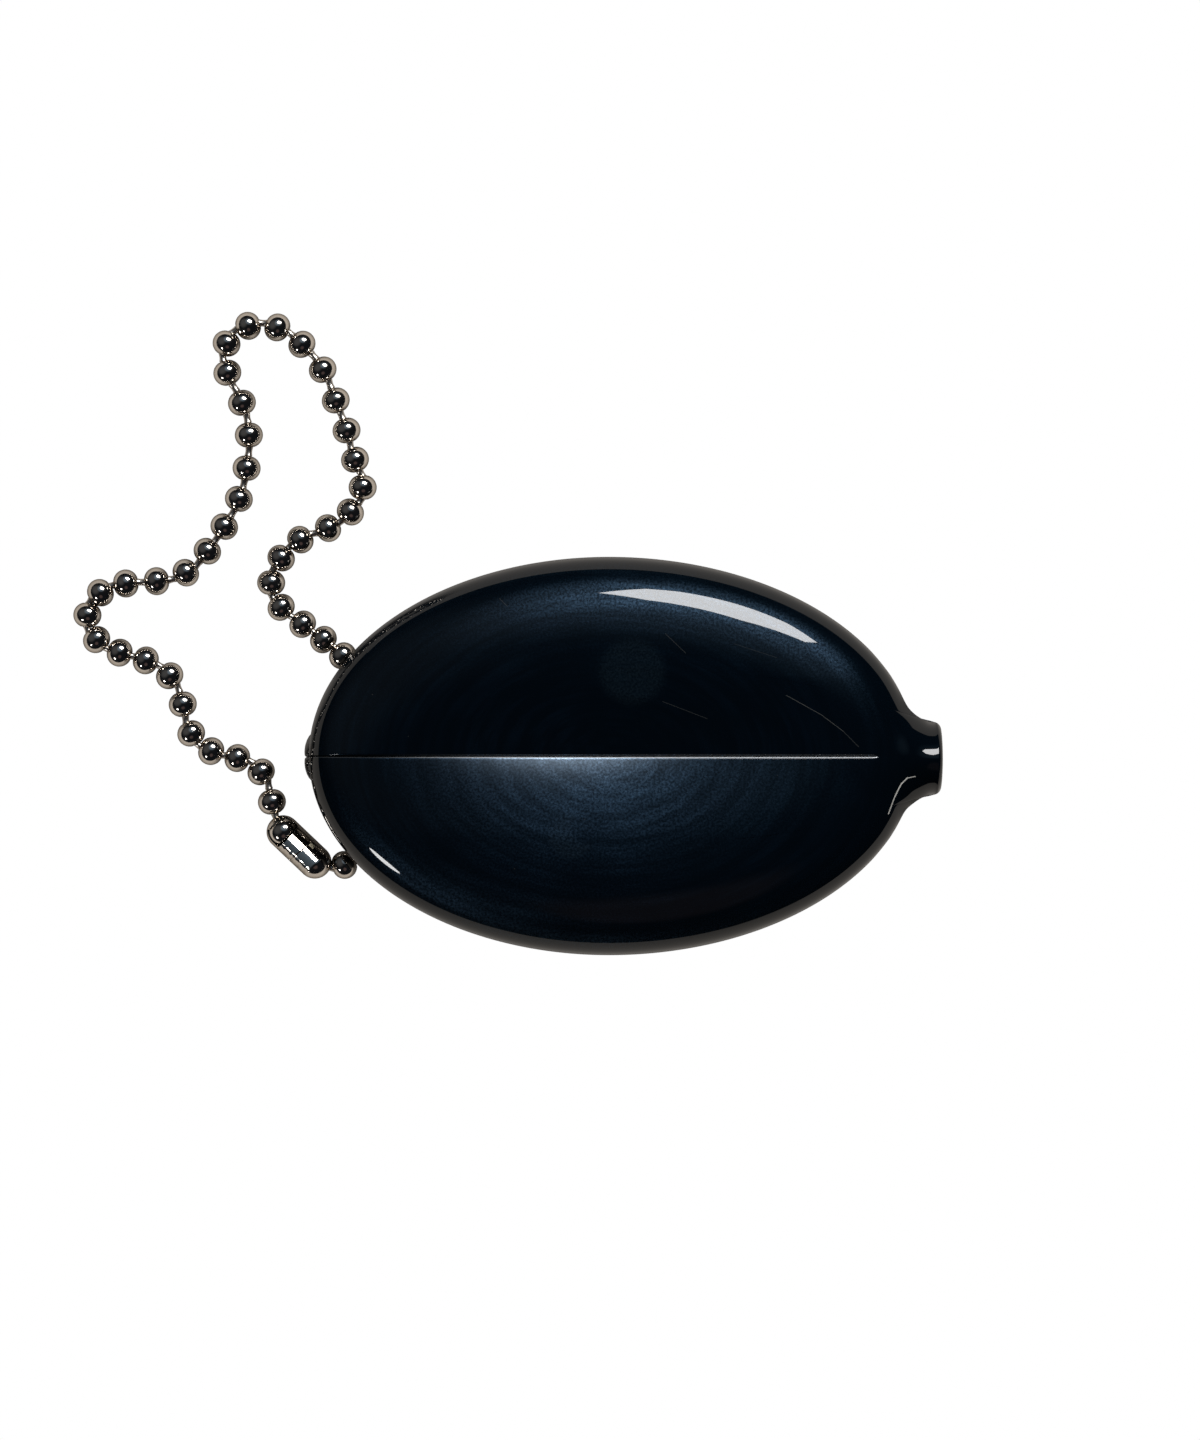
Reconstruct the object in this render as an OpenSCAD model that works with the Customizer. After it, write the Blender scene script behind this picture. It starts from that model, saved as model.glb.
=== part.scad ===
// Squeeze coin purse with a bead chain loop.
// The origin lies on the table under the middle of the oval. +X runs along the purse to its neck, +Z is up.

/* [Purse] */
// Length of the oval from its middle to the tip with the ear
left_len = 38.7; // [37.5:0.1:40]
// Length of the oval from its middle to the end with the neck
right_len = 39.8; // [38.5:0.1:41]
// Half of the oval's width
half_width = 25.7; // [24:0.1:27]
// Height of the widest line above the table
mid_z = 7.3; // [7:0.1:7.8]
// Height of the front above the widest line
front_h = 7.0; // [6.5:0.1:7.5]
// Depth of the back below the widest line, before it is cut flat
back_h = 7.8; // [7.5:0.1:8.2]
// Width of the rounded band between the edge and the flat front
edge_band = 15.4; // [13:0.1:17]
// Wall thickness of the moulding
wall = 1.8; // [1.4:0.1:2.2]

/* [Slit and lips] */
// Place along the purse where the slit ends, short of the neck
slit_end = 34.7; // [33:0.1:35.5]
// Width of the knife cut
kerf = 0.2; // [0.15:0.05:0.4]
// Width of each lip, from the slit to the line that it bends on
lip_w = 11; // [9:0.5:12]
// Gap between a lip and the shell around it
lip_gap = 0.25; // [0.2:0.05:0.5]
// Depth of the shallow valley along the slit
valley = 0.8; // [0.4:0.1:1.2]

/* [Neck] */
// Diameter of the neck
neck_d = 9.4; // [8.4:0.1:10]
// Place along the purse where the neck ends
neck_end = 42.86; // [42:0.02:44]
// How far the neck sits to the side of the long axis
neck_shift = -0.3; // [-0.6:0.1:0.6]
// Radius of the hollow corner between the neck and the oval
neck_fillet = 3.3; // [2.8:0.1:3.8]
// Radius of the rounded rim of the neck
neck_round = 1.0; // [0.6:0.1:1.6]

/* [Ear] */
// Place of the hole through the ear along the purse
ear_x = -35.5; // [-36:0.1:-35]
// Height of the middle of the hole above the table
ear_z = 3.3; // [3.1:0.1:3.5]
// Diameter of the hole through the ear
ear_hole_d = 4.6; // [4.4:0.1:5]
// Wall around the hole, out to the tip
ear_wall = 1.66; // [1.3:0.02:2]
// Width of the ear across the purse
ear_w = 6.2; // [5.4:0.1:7]

/* [Bead chain] */
// Diameter of a bead
bead_d = 3.54; // [3.4:0.02:3.6]
// Height of a bead's drawn-in poles above its middle
bead_pole = 1.5; // [1.4:0.02:1.6]
// Thickness of a bead's sheet
bead_wall = 0.12; // [0.1:0.01:0.15]
// Diameter of the holes at a bead's poles
bead_hole_d = 1.22; // [1.18:0.02:1.26]
// Diameter of a link pin's rod
pin_d = 0.82; // [0.7:0.02:0.84]
// Diameter of a link pin's two heads
head_d = 1.32; // [1.28:0.02:1.36]
// Length of a head, over which it flares out to its full width
head_t = 0.22; // [0.18:0.02:0.26]
// Length of a link pin's rod between its heads
pin_len = 2.36; // [2.3:0.02:2.4]

/* [Connector] */
// Outer diameter of the connector
conn_d = 4.34; // [4.2:0.02:4.5]
// Thickness of the connector's sheet
conn_wall = 0.32; // [0.2:0.02:0.4]
// Diameter of the holes that the link pins leave through
conn_hole_d = 1.8; // [1.6:0.05:2.2]
// Width of the seam slot along the connector
conn_slot = 0.7; // [0.4:0.05:1]

/* [Hidden] */
BEADS = 50;
function bead_name(i) = str("bead_", i < 10 ? "0" : "", i);

// Colours
vinyl = [0.05, 0.06, 0.08];
nickel = [0.72, 0.70, 0.67];

// Form of the oval moulding
taper = 0.27;
front_power = 3;
dome_power = 1 / 2.1;
back_end_power = 0.7;
valley_w = 10.3;
valley_fade = 3;
rays = 64;
front_rings = 12;
back_rings = 10;
cavity_rays = 48;
cavity_rings = 8;
slit_start = -left_len - 3;
slit_floor = mid_z - 0.8;
lip_floor = mid_z + 1.5;
hinge_z = mid_z + front_h;
lip_start = -left_len + 1.5 * wall;
lip_points = 28;
lip_power = 3;
far = 20;
eps = 0.001;

// Joined stretches of the chain, by bead number
hidden_links = [45, 46, 47, 48, 49];
near_links = [50, 1, 2, 36, 37, 38, 39, 40, 42, 43, 44, 3, 35];
middle_links = [4, 5, 6, 7, 8, 9, 23, 24, 25, 34, 10, 22, 26, 33];
top_links = [for (i = [11:21]) i];
left_links = [for (i = [27:32]) i];

// Route of the chain seen from above, with the lift off the table as the third number. It is a closed loop.
end_lift = (conn_d - bead_d) / 2;
route = [
    [-34.6, 13.0, 0], [-37.1, 15.1, 0], [-39.8, 17.1, 0], [-42.6, 19.3, 0], [-43.9, 22.5, 0],
    [-42.6, 25.7, 0], [-40.1, 28.1, 0], [-36.5, 29.6, 0], [-33.6, 31.7, 0], [-32.0, 34.9, 0],
    [-33.0, 38.5, 0], [-34.1, 42.3, 0], [-35.5, 46.2, 0], [-37.2, 50.2, 0], [-39.9, 53.5, 0],
    [-43.1, 55.7, 0], [-46.9, 55.9, 0], [-49.7, 53.6, 0], [-49.6, 49.8, 0], [-47.7, 45.9, 0],
    [-46.8, 41.7, 0], [-47.1, 37.4, 0], [-48.1, 33.4, 0], [-50.0, 29.8, 0], [-52.2, 26.6, 0],
    [-55.0, 23.8, 0], [-58.8, 22.7, 0], [-62.8, 22.4, 0], [-66.1, 21.2, 0], [-67.8, 18.3, 0],
    [-66.6, 15.1, 0], [-63.6, 13.4, 0], [-60.2, 12.4, 0], [-57.1, 10.4, 0], [-55.4, 6.7, 0],
    [-54.3, 2.9, 0], [-51.7, 0.6, 0], [-48.3, -0.3, 0], [-45.2, -2.1, 0], [-43.8, -6.0, 0],
    [-42.3, -9.9, end_lift], [-38.2, -13.8, end_lift], [-34.4, -14.2, 0], [-31.9, -11.5, 0],
    [-32.9, -8.0, 0.3], [-34.9, -4.6, 0.9], [-35.4, -0.8, 1.2], [-35.2, 2.8, 1.2], [-34.3, 6.3, 0.8],
    [-33.4, 9.7, 0.3]
];
first_end = 41;
second_end = 42;

function unit(v) = v / norm(v);
function wrap(i) = (i - 1 + BEADS) % BEADS;
function centre(i) = [route[wrap(i)][0], route[wrap(i)][1], route[wrap(i)][2] + bead_d / 2];

// A bead turns until both of its pins leave it at the same tilt. Each pin joins the two facing holes.
barrel = bead_d / 2 - bead_pole;
hole_reach = bead_hole_d / 2 - barrel;
outer_face = sqrt(pow(bead_pole, 2) - pow(hole_reach, 2));
inner_face = sqrt(pow(bead_pole - bead_wall, 2) - pow(hole_reach, 2));
seat = (outer_face + inner_face) / 2;
function pin_way(i, axes) =
    unit(centre(i + 1) - seat * axes[wrap(i + 1)] - centre(i) - seat * axes[wrap(i)]);
function settle(axes, turns) =
    turns == 0 ? axes
    : settle([for (i = [1:BEADS])
                  unit(2 * axes[wrap(i)] + unit(pin_way(i - 1, axes) + pin_way(i, axes)))], turns - 1);
straight = [for (i = [1:BEADS])
                unit(unit(centre(i) - centre(i - 1)) + unit(centre(i + 1) - centre(i)))];
bead_axes = settle(straight, 6);
function hole_after(i) = centre(i) + seat * bead_axes[wrap(i)];
function hole_before(i) = centre(i) - seat * bead_axes[wrap(i)];

// Turns a shape that stands along Z so that it points along v, and moves it to p.
module aim(p, v) {
    translate(p)
        rotate([0, acos(v[2] / norm(v)), atan2(v[1], v[0])])
            children();
}

// Outer skin of the oval: height of the front and of the back over a point of the plan
function half_len(x) = x < 0 ? left_len : right_len;
function plan(x, y, inset) =
    sqrt(pow(x / (half_len(x) - inset), 2) + pow(y / (half_width - inset), 2));
function edge_distance(x, y, inset) =
    let (a = half_len(x) - inset, b = half_width - inset, u = max(eps, plan(x, y, inset)))
    max(0, 1 - u) * u / max(eps * eps, norm([x / (a * a), y / (b * b)]));
function dome(d) = d < edge_band ? pow(1 - pow(1 - d / edge_band, front_power), dome_power) : 1;
function valley_depth(x, y) =
    valley * pow(max(0, 1 - abs(y) / valley_w), 1.5) * max(0, 1 - pow(x / slit_end, 4));
function front_z(x, y, inset = 0) =
    let (s = 1 - taper * pow(x / half_len(x), 2))
    mid_z + s * (front_h - inset) * dome(edge_distance(x, y, inset) / s) - valley_depth(x, y)
    * min(1, edge_distance(x, y, inset) / valley_fade);
function back_z(x, y, inset, depth) =
    let (c = max(0, 1 - pow(x / (half_len(x) - inset), 2)),
         v = c > 0 ? min(1, abs(y) / ((half_width - inset) * sqrt(c))) : 1)
    mid_z - depth * pow(c, back_end_power) * pow(1 - pow(v, 3), dome_power);

// One closed skin of rings that shrink towards the middle of the front and of the back
module oval_skin(inset, depth, count, front, back) {
    function plan_point(share, k) =
        let (a = 360 * k / count, x = cos(a), y = sin(a))
        [share * (half_len(x) - inset) * x, share * (half_width - inset) * y];
    front_pts = [for (r = [1:front], k = [0:count - 1])
                     let (p = plan_point(1 - pow(1 - r / front, 2), k))
                     [p[0], p[1], r == front ? mid_z : front_z(p[0], p[1], inset)]];
    back_pts = [for (r = [1:back - 1], k = [0:count - 1])
                    let (p = plan_point(1 - pow(r / back, 2), k))
                    [p[0], p[1], back_z(p[0], p[1], inset, depth)]];
    rings = front + back - 1;
    pts = concat([[0, 0, front_z(0, 0, inset)]], front_pts, back_pts, [[0, 0, mid_z - depth]]);
    last = rings * count + 1;
    function at(r, k) = 1 + r * count + k % count;
    tris = concat(
        [for (k = [0:count - 1]) [0, at(0, k + 1), at(0, k)]],
        [for (r = [0:rings - 2], k = [0:count - 1]) [at(r, k), at(r, k + 1), at(r + 1, k + 1)]],
        [for (r = [0:rings - 2], k = [0:count - 1]) [at(r, k), at(r + 1, k + 1), at(r + 1, k)]],
        [for (k = [0:count - 1]) [last, at(rings - 1, k), at(rings - 1, k + 1)]]);
    polyhedron(points = pts, faces = tris, convexity = 6);
}

// The neck is lofted from thin round slices that widen into the oval in plan and stay level in height.
neck_r = neck_d / 2;
neck_sink = 5;
root_wide = 0.8;
root_low = 0.4;
neck_start = neck_end - neck_round - neck_fillet;
neck_root = neck_start - neck_sink;
function neck_flare(x) =
    let (t = max(0, neck_end - neck_round - x))
    neck_fillet - sqrt(max(0, pow(neck_fillet, 2) - pow(min(t, neck_fillet), 2)));
function neck_rim(a) = [neck_end - neck_round + neck_round * sin(a), neck_r - neck_round + neck_round * cos(a)];
neck_slices = concat(
    [[neck_root, neck_r + root_wide, neck_r - root_low]],
    [for (t = [0.85, 0.65, 0.45, 0.25])
         let (x = neck_start + (1 - t) * neck_fillet) [x, neck_r + neck_flare(x), neck_r]],
    [for (a = [0, 30, 60, 90]) [neck_rim(a)[0], neck_rim(a)[1], neck_rim(a)[1]]],
    [[neck_end + 0.1, neck_r / 3, neck_r / 3]]);
module neck_slice(s) {
    translate([s[0], neck_shift, mid_z])
        scale([1, s[1], s[2]])
            rotate([0, 90, 0])
                cylinder(r = 1, h = 0.02, center = true, $fn = 40);
}
module neck() {
    for (i = [0:len(neck_slices) - 2])
        hull() {
            neck_slice(neck_slices[i]);
            neck_slice(neck_slices[i + 1]);
        }
}

// The ear is a lug with two lobes, which the slit parts at the top.
ear_r = ear_hole_d / 2 + ear_wall;
ear_round = 1.2;
ear_top_z = mid_z - 1.8;
hole_flare = 0.6;
flare_depth = 0.7;
ground_gap = 0.15;
module ear_disc(z, r) {
    translate([ear_x, neck_shift / 2, z])
        rotate([90, 0, 0]) {
            cylinder(r = r, h = ear_w - 2 * ear_round, center = true, $fn = 32);
            cylinder(r = r - 0.3 * ear_round, h = ear_w - 0.75 * ear_round, center = true, $fn = 32);
            cylinder(r = r - 0.9 * ear_round, h = ear_w, center = true, $fn = 32);
        }
}
module ear() {
    hull() {
        ear_disc(ear_z, ear_r);
        ear_disc(ear_top_z, ear_r - 0.1);
    }
}
module ear_hole() {
    translate([ear_x, neck_shift / 2, ear_z])
        rotate([90, 0, 0]) {
            cylinder(d = ear_hole_d, h = ear_w + 2, center = true, $fn = 32);
            for (s = [-1, 1])
                translate([0, 0, s * ear_w / 2])
                    rotate([s > 0 ? 0 : 180, 0, 0])
                        translate([0, 0, -flare_depth])
                            cylinder(d1 = ear_hole_d - 0.1, d2 = ear_hole_d + 2 * hole_flare, h = flare_depth + 0.1, $fn = 32);
        }
}

// The whole moulding before the lips are parted from it
module moulding() {
    difference() {
        union() {
            oval_skin(0, back_h, rays, front_rings, back_rings);
            neck();
            ear();
        }
        oval_skin(wall, mid_z - wall, cavity_rays, cavity_rings, cavity_rings);
        ear_hole();
        translate([slit_start, -kerf / 2, slit_floor])
            cube([slit_end - slit_start, kerf, far]);
        translate([-2 * far, -2 * far, -far])
            cube([4 * far, 4 * far, far]);
        translate([-3 * far, -ear_w, -far])
            cube([2 * far, 2 * ear_w, far + ground_gap]);
    }
}

// Plan of both lips together: a long superellipse between the two ends of the slit
module lip_plan(grow) {
    mid = (slit_end + lip_start) / 2;
    reach = (slit_end - lip_start) / 2 + grow;
    polygon([for (k = [0:lip_points * 2 - 1])
                 let (a = 180 * k / lip_points, c = cos(a), s = sin(a))
                 [mid + reach * sign(c) * pow(abs(c), 2 / lip_power),
                  (lip_w + grow) * sign(s) * pow(abs(s), 2 / lip_power)]]);
}
module lip_prism(grow = 0) {
    translate([0, 0, lip_floor])
        linear_extrude(height = far)
            lip_plan(grow);
}

module purse_body() {
    color(vinyl)
        difference() {
            moulding();
            lip_prism(lip_gap);
        }
}

// Under the front, a lip's cut face follows a round about its bending line, so that the lips clear as they part.
module lip(side) {
    color(vinyl)
        intersection() {
            moulding();
            lip_prism();
            translate([-3 * far, side > 0 ? kerf / 2 : -2 * far - kerf / 2, 0])
                cube([6 * far, 2 * far, 2 * far]);
            translate([0, side * lip_w, hinge_z])
                rotate([0, 90, 0])
                    cylinder(r = lip_w - kerf / 2, h = 6 * far, center = true, $fn = 240);
        }
}
module upper_lip() {
    lip(1);
}
module lower_lip() {
    lip(-1);
}

// A bead is a hollow barrel of rounded sheet with a hole at each pole.
module bead_shell() {
    rotate_extrude($fn = 64)
        intersection() {
            difference() {
                translate([barrel, 0])
                    circle(r = bead_pole, $fn = 64);
                translate([barrel, 0])
                    circle(r = bead_pole - bead_wall, $fn = 64);
            }
            translate([bead_hole_d / 2, -bead_d])
                square([bead_d, 2 * bead_d]);
        }
}
module bead(i) {
    color(nickel)
        aim(centre(i), bead_axes[wrap(i)])
            bead_shell();
}

// A link pin is a rod with a flared head inside each of two neighbouring beads.
// It slides towards the bead in which it is tilted more, so that both heads have about the same room.
function head_room(way, axis) = 0.7 * head_d * norm(cross(way, axis)) / (way * axis);
module pin(i) {
    from = hole_after(i);
    to = hole_before(i + 1);
    way = unit(to - from);
    slide = (head_room(way, bead_axes[wrap(i + 1)]) - head_room(way, bead_axes[wrap(i)])) / 2;
    half = pin_len / 2;
    aim((from + to) / 2 + slide * way, way)
        rotate_extrude($fn = 32)
            polygon([[0, -half - head_t], [head_d / 2, -half - head_t], [pin_d / 2, -half],
                     [pin_d / 2, half], [head_d / 2, half + head_t], [0, half + head_t]]);
}
module pins(links) {
    color(nickel)
        for (i = links)
            pin(i);
}

// The connector is a folded capsule with a cup for each end bead.
conn_r = conn_d / 2;
conn_way = centre(second_end) - centre(first_end);
conn_len = norm(conn_way);
notch_w = 1.1;
module capsule(r, stretch = 0) {
    rotate_extrude($fn = 64)
        intersection() {
            union() {
                for (z = [0, conn_len])
                    translate([0, z])
                        circle(r = r, $fn = 64);
                square([r, conn_len]);
            }
            translate([0, -far])
                square([far, 2 * far]);
        }
}
module connector() {
    first_out = hole_before(first_end) - hole_after(first_end - 1);
    second_out = hole_before(second_end + 1) - hole_after(second_end);
    color(nickel)
        difference() {
            aim(centre(first_end), conn_way)
                difference() {
                    capsule(conn_r);
                    capsule(conn_r - conn_wall);
                    // Seam slot along the flank that faces away from the purse
                    rotate([0, 0, 115])
                        translate([0, -conn_slot / 2, 0.4])
                            cube([far, conn_slot, conn_len + 0.6]);
                    // Small notch in the opposite flank, next to the first cup
                    rotate([0, 0, -100])
                        translate([0, -notch_w / 2, conn_len * 0.3])
                            cube([far, notch_w, 0.5]);
                }
            aim(centre(first_end), -first_out)
                translate([0, 0, conn_r / 2])
                    cylinder(d = conn_hole_d, h = conn_r, $fn = 32);
            aim(centre(second_end), second_out)
                translate([0, 0, conn_r / 2])
                    cylinder(d = conn_hole_d, h = conn_r, $fn = 32);
        }
}

purse_body();
upper_lip();
lower_lip();
connector();
pins(hidden_links);  // pins_hidden
pins(near_links);  // pins_near
pins(middle_links);  // pins_middle
pins(top_links);  // pins_top
pins(left_links);  // pins_left
for (i = [1:BEADS])
    bead(i);
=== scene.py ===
import math

import bpy
import numpy as np
from mathutils import Matrix, Vector


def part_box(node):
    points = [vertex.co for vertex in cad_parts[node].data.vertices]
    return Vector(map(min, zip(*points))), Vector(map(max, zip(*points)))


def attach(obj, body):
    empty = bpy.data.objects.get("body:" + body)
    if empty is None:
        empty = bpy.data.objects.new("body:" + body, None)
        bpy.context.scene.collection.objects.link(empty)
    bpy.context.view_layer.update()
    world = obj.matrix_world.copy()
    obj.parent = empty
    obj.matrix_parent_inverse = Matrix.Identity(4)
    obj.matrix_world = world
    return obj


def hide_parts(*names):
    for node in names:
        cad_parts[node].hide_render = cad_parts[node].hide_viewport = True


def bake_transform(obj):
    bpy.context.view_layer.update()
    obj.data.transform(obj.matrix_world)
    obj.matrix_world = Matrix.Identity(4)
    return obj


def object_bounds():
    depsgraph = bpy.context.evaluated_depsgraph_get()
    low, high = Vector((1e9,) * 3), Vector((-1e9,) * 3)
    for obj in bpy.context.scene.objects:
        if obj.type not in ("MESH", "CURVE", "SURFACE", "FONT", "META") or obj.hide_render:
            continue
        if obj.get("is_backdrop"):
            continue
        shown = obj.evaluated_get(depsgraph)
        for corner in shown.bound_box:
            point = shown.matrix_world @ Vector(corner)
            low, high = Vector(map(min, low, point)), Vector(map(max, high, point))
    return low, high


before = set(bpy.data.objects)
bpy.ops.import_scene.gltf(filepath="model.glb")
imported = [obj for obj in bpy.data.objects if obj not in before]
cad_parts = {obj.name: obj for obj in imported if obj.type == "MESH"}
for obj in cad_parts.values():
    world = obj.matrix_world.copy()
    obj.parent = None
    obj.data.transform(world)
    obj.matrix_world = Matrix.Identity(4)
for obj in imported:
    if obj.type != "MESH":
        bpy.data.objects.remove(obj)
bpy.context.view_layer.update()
MM = 0.001

# ---------------------------------------------------------------- sizes, in mm, as in the CAD source
LEFT, RIGHT, HALF_W = 38.7, 39.8, 25.7          # the oval's two tips and its side, from its middle
MID_Z, FRONT_H, BACK_H = 7.3, 7.0, 7.8          # the widest line's height, then front and back from that line
BAND, WALL = 15.4, 1.8
TAPER, FRONT_P, DOME_P, BACK_P = 0.27, 3.0, 1 / 2.1, 0.7
SLIT_END, KERF, LIP_W, LIP_P = 34.7, 0.2, 11.0, 3
LIP_START = -LEFT + 1.5 * WALL
VALLEY, VALLEY_W, VALLEY_FADE = 0.8, 10.3, 3
NECK_R, NECK_END, NECK_Y = 4.7, 42.86, -0.3
NECK_F, NECK_ROUND, NECK_SINK, ROOT_WIDE = 3.3, 1.0, 5, 0.8
EAR_X, EAR_Z, EAR_TOP_Z, EAR_HOLE, EAR_R, EAR_W = -35.5, 3.3, MID_Z - 1.8, 2.3, 3.96, 6.2
GROUND_GAP = 0.15
BEAD_R, BEAD_POLE, BEAD_WALL, BEAD_HOLE = 1.77, 1.5, 0.12, 0.61
PIN_R, HEAD_R, PIN_HALF, HEAD_T = 0.41, 0.66, 1.18, 0.22
CONN_R = 2.17
BEADS = 50
CLASP_BEADS = (41, 42)

# ---------------------------------------------------------------- sizes that only the scene has, in mm
NECK_P = 1.75                                   # the neck's section, between a circle's 2 and a rhomb's 1
NECK_TIP = 0.1                                  # bulge of the neck's end
DIP_X, DIP_RATE, DIP = 40.3, 0.09, 2.2          # the neck sinks towards its root from DIP_X on, by DIP at most
FILLET, FILLET_SHARE = 1.6, 0.9
EDGE_ROUND = 0.26                               # rounding of the lips' edges along the cut
LEAST_WALL = 0.3
CUT_LOW = 6.5                                   # height down to which the cut's walls show at the left tip
EAR_TOP_R = EAR_R - 0.1
SHOWN_R, SHOWN_POLE, SHOWN_ROD = 1.83, 1.62, 0.46       # in sight, beads are a little rounder and rods thicker
HIDDEN_FROM = 44                                # beads and pins from here on lie under the purse, at the solids' sizes
FULL_BEAD_SCALE = 1.1                           # of the bead that fills the connector's window
SHEET = 0.26                                    # thickness of the connector's shown sheet

# Which body each bead and each pin rides with. A pin has the number of the bead before it.
BEADS_OF = {
    "purse": range(45, 51), "loop_near": [1, 2, 3, *range(36, 45)],
    "loop_middle": [*range(4, 11), *range(23, 27), 34, 35],
    "top_lobe": range(11, 23), "left_lobe": range(27, 34),
}
BODY_OF_BEAD = {i: body for body, beads in BEADS_OF.items() for i in beads}
PINS_OF = {
    "purse": range(45, 50), "loop_near": [50, 1, 2, 3, *range(35, 41), 42, 43, 44],
    "loop_middle": [*range(4, 11), *range(22, 27), 33, 34],
    "top_lobe": range(11, 22), "left_lobe": range(27, 33),
}
PIN_NODE = {"purse": "pins_hidden", "loop_near": "pins_near", "loop_middle": "pins_middle",
            "top_lobe": "pins_top", "left_lobe": "pins_left"}


# ---------------------------------------------------------------- helpers
def ramp(x, start, end):
    """0 at start, 1 at end, straight between. It falls as x grows where end is less than start."""
    return np.clip((x - start) / (end - start), 0, 1)


def unit(v):
    return v / np.linalg.norm(v)


def link(obj):
    bpy.context.scene.collection.objects.link(obj)
    return obj


class Graph:
    """Short ways to add nodes to a tree. An input takes a value or another node's output."""

    def __init__(self, tree):
        self.tree = tree

    def put(self, socket, value):
        if isinstance(value, bpy.types.NodeSocket):
            self.tree.links.new(value, socket)
        else:
            socket.default_value = value

    def add(self, kind, inputs=None, out=0, **settings):
        """Adds a node and returns one of its outputs. An input that is None stays as it comes."""
        n = self.tree.nodes.new("ShaderNode" + kind)
        for key, value in settings.items():
            setattr(n, key, value)
        for key, value in (inputs or {}).items():
            if value is not None:
                self.put(n.inputs[key], value)
        return n.outputs[out]

    def maths(self, operation, a, b=0.0, clamp=False):
        return self.add("Math", {0: a, 1: b}, operation=operation, use_clamp=clamp)

    def vector(self, operation, a, b=None, scale=None, out=0):
        return self.add("VectorMath", {0: a, 1: b, "Scale": scale}, out, operation=operation)

    def plus(self, a, b):
        return self.maths("ADD", a, b)

    def times(self, a, *others):
        for b in others:
            a = self.maths("MULTIPLY", a, b)
        return a

    def greatest(self, first, *others):
        for value in others:
            first = self.maths("MAXIMUM", first, value)
        return first

    def tinted(self, colour, amount):
        return self.vector("SCALE", colour, scale=amount)

    def span(self, value, low, high, to_low=0.0, to_high=1.0):
        """Smooth step from to_low, at low and below, to to_high, at high and above."""
        return self.add("MapRange", {"Value": value, "From Min": low, "From Max": high,
                                     "To Min": to_low, "To Max": to_high}, interpolation_type="SMOOTHSTEP")

    def bell(self, x, middle, reach):
        """Gauss bell of height 1."""
        off = self.maths("ABSOLUTE", self.maths("DIVIDE", self.maths("SUBTRACT", x, middle), reach))
        return self.maths("POWER", math.e, self.times(self.maths("POWER", off, 2.0), -1.0))

    def noise(self, at, scale, detail=3.0, rough=0.6):
        return self.add("TexNoise", {"Vector": at, "Scale": scale, "Detail": detail, "Roughness": rough}, "Fac")

    def parts(self, vector):
        """The x and y of a vector."""
        return self.add("SeparateXYZ", {0: vector}).node.outputs[:2]

    def distance(self, a, b):
        return self.vector("DISTANCE", a, b, out="Value")

    def dot(self, a, b):
        return self.vector("DOT_PRODUCT", a, b, out="Value")


def material(name, shader, **values):
    """Material with the surface that shader(graph, **values) returns."""
    m = bpy.data.materials.new(name)
    m.use_nodes = True
    tree = m.node_tree
    tree.nodes.clear()
    out = tree.nodes.new("ShaderNodeOutputMaterial")
    tree.links.new(shader(Graph(tree), **values), out.inputs[0])
    return m


# ---------------------------------------------------------------- materials
def metal(g, dark, light, roughness, grain, detail, tint=(1, 1, 1), bump=None):
    """Metal whose colour wanders between dark and light."""
    speck = g.noise(g.add("TexCoord", out="Object"), grain, detail, 0.5)
    colour = g.add("ValToRGB", {"Fac": speck}, "Color")
    first, last = colour.node.color_ramp.elements
    first.color, last.color = (*dark, 1), (*light, 1)
    normal = bump and g.add("Bump", {"Height": speck, "Strength": bump, "Distance": 0.00001}, "Normal")
    return g.add("BsdfPrincipled", {"Base Color": colour, "Metallic": 1, "Roughness": roughness,
                                    "Specular Tint": (*tint, 1), "Normal": normal})


NICKEL = {"dark": (0.72, 0.665, 0.60), "light": (0.80, 0.74, 0.67), "grain": 900.0, "detail": 4.0,
          "tint": (0.45, 0.42, 0.38), "bump": 0.01}
BRASS = {"dark": (0.42, 0.36, 0.24), "light": (0.62, 0.55, 0.40), "grain": 3000.0, "detail": 3.0}

VINYL_COLOUR = (0.0008, 0.0030, 0.0058)
HAZE_AND_SHEEN_COLOUR = (0.0058, 0.0108, 0.0175)
PAINTED_SHEEN_COLOUR = (0.50, 0.62, 0.75)
SWIRL_COLOUR = (0.0006, 0.0022, 0.0045)
# the next colour paints reflections of the camera on the lips, a pale round spot and a crescent
CAMERA_REFLECTION_COLOUR = (0.0030, 0.0048, 0.0062)
# the next colour is for hairlines and dust, and for a painted highlight beside the neck
MARK_AND_HIGHLIGHT_COLOUR = (0.80, 0.78, 0.72)
# the next colour paints a highlight along the slit's lower edge
SLIT_HIGHLIGHT_COLOUR = (0.90, 0.93, 0.97)
# where the painted reflections of the camera lie, in mm
CAMERA_SPOT_AT = (2.99, 10.84, 0)
CRESCENT_AT, CRESCENT_BITE_AT = (-4.9, -10.2, 0), (-2.9, -9.2, 0)
SCRATCH_ANGLES = (0.5, 1.35, 2.3, 2.9)          # radians
HAZE_ROUGH_UPPER, HAZE_ROUGH_LOWER = 0.366, 0.45
EDGE_Y, EDGE_LEFT, EDGE_RIGHT = -0.13, -31.0, 34.4      # the painted highlight along the slit
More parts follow.
